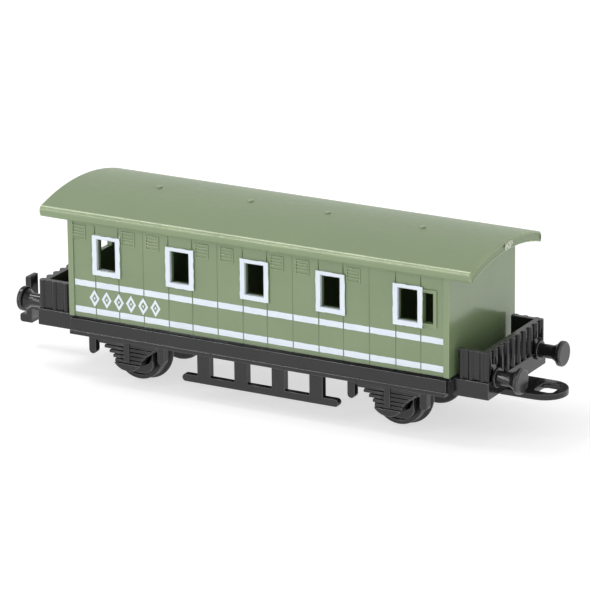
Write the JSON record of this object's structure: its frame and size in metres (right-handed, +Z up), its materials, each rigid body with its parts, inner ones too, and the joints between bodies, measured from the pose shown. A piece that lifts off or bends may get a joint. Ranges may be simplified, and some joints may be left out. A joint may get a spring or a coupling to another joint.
{
  "type": "model passenger coach",
  "caption": "Short-wheelbase model railway coach with arched roof, railed end platforms, turning wheelsets and swinging hook and loop couplings.",
  "frame": {"origin": "on rail level, under the middle of the saloon body", "axes": "+X along the coach towards the loop coupling, +Y towards the far side, +Z up"},
  "size_m": [0.1448, 0.036, 0.045],
  "materials": {
    "body_green": "satin moulded plastic with white printed bands",
    "roof_green": "satin moulded plastic",
    "underframe_black": "semi-gloss moulded plastic",
    "coupling_black": "semi-gloss moulded plastic",
    "wheel_black": "satin moulded plastic",
    "axle_steel": "drawn steel wire",
    "screw_steel": "turned steel"
  },
  "bodies": {
    "coach": {"body_shell": "body_green", "roof": "roof_green", "floor_plate": "underframe_black", "body_screws": "screw_steel", "solebar_near": "underframe_black", "solebar_far": "underframe_black", "platform_loop_end": "underframe_black", "platform_hook_end": "underframe_black", "railing_loop_end": "underframe_black", "railing_hook_end": "underframe_black", "buffer_loop_near": "underframe_black", "buffer_loop_far": "underframe_black", "buffer_hook_near": "underframe_black", "buffer_hook_far": "underframe_black", "axle_guard_loop_near": "underframe_black", "axle_guard_loop_far": "underframe_black", "axle_guard_hook_near": "underframe_black", "axle_guard_hook_far": "underframe_black", "step_board_near": "underframe_black", "step_board_far": "underframe_black", "coupling_screw_loop": "screw_steel", "coupling_screw_hook": "screw_steel"},
    "wheelset_loop": {"axle_loop_end": "axle_steel", "wheel_loop_near": "wheel_black", "wheel_loop_far": "wheel_black"},
    "wheelset_hook": {"axle_hook_end": "axle_steel", "wheel_hook_near": "wheel_black", "wheel_hook_far": "wheel_black"},
    "loop_arm": {"coupling_loop": "coupling_black"},
    "hook_arm": {"coupling_hook": "coupling_black"}
  },
  "joints": [
    {"name": "loop_wheelset_spin", "type": "hinge", "parent": "coach", "child": "wheelset_loop", "pos_m": [0.0344, 0, 0.0072], "axis": [0, 1, 0], "continuous": true},
    {"name": "hook_wheelset_spin", "type": "hinge", "parent": "coach", "child": "wheelset_hook", "pos_m": [-0.0344, 0, 0.0072], "axis": [0, 1, 0], "continuous": true},
    {"name": "loop_swing", "type": "hinge", "parent": "coach", "child": "loop_arm", "pos_m": [0.0535, 0, 0.0105], "axis": [0, 0, 1], "range_deg": [-12, 12]},
    {"name": "hook_swing", "type": "hinge", "parent": "coach", "child": "hook_arm", "pos_m": [-0.0535, 0, 0.0105], "axis": [0, 0, 1], "range_deg": [-12, 12]}
  ]
}
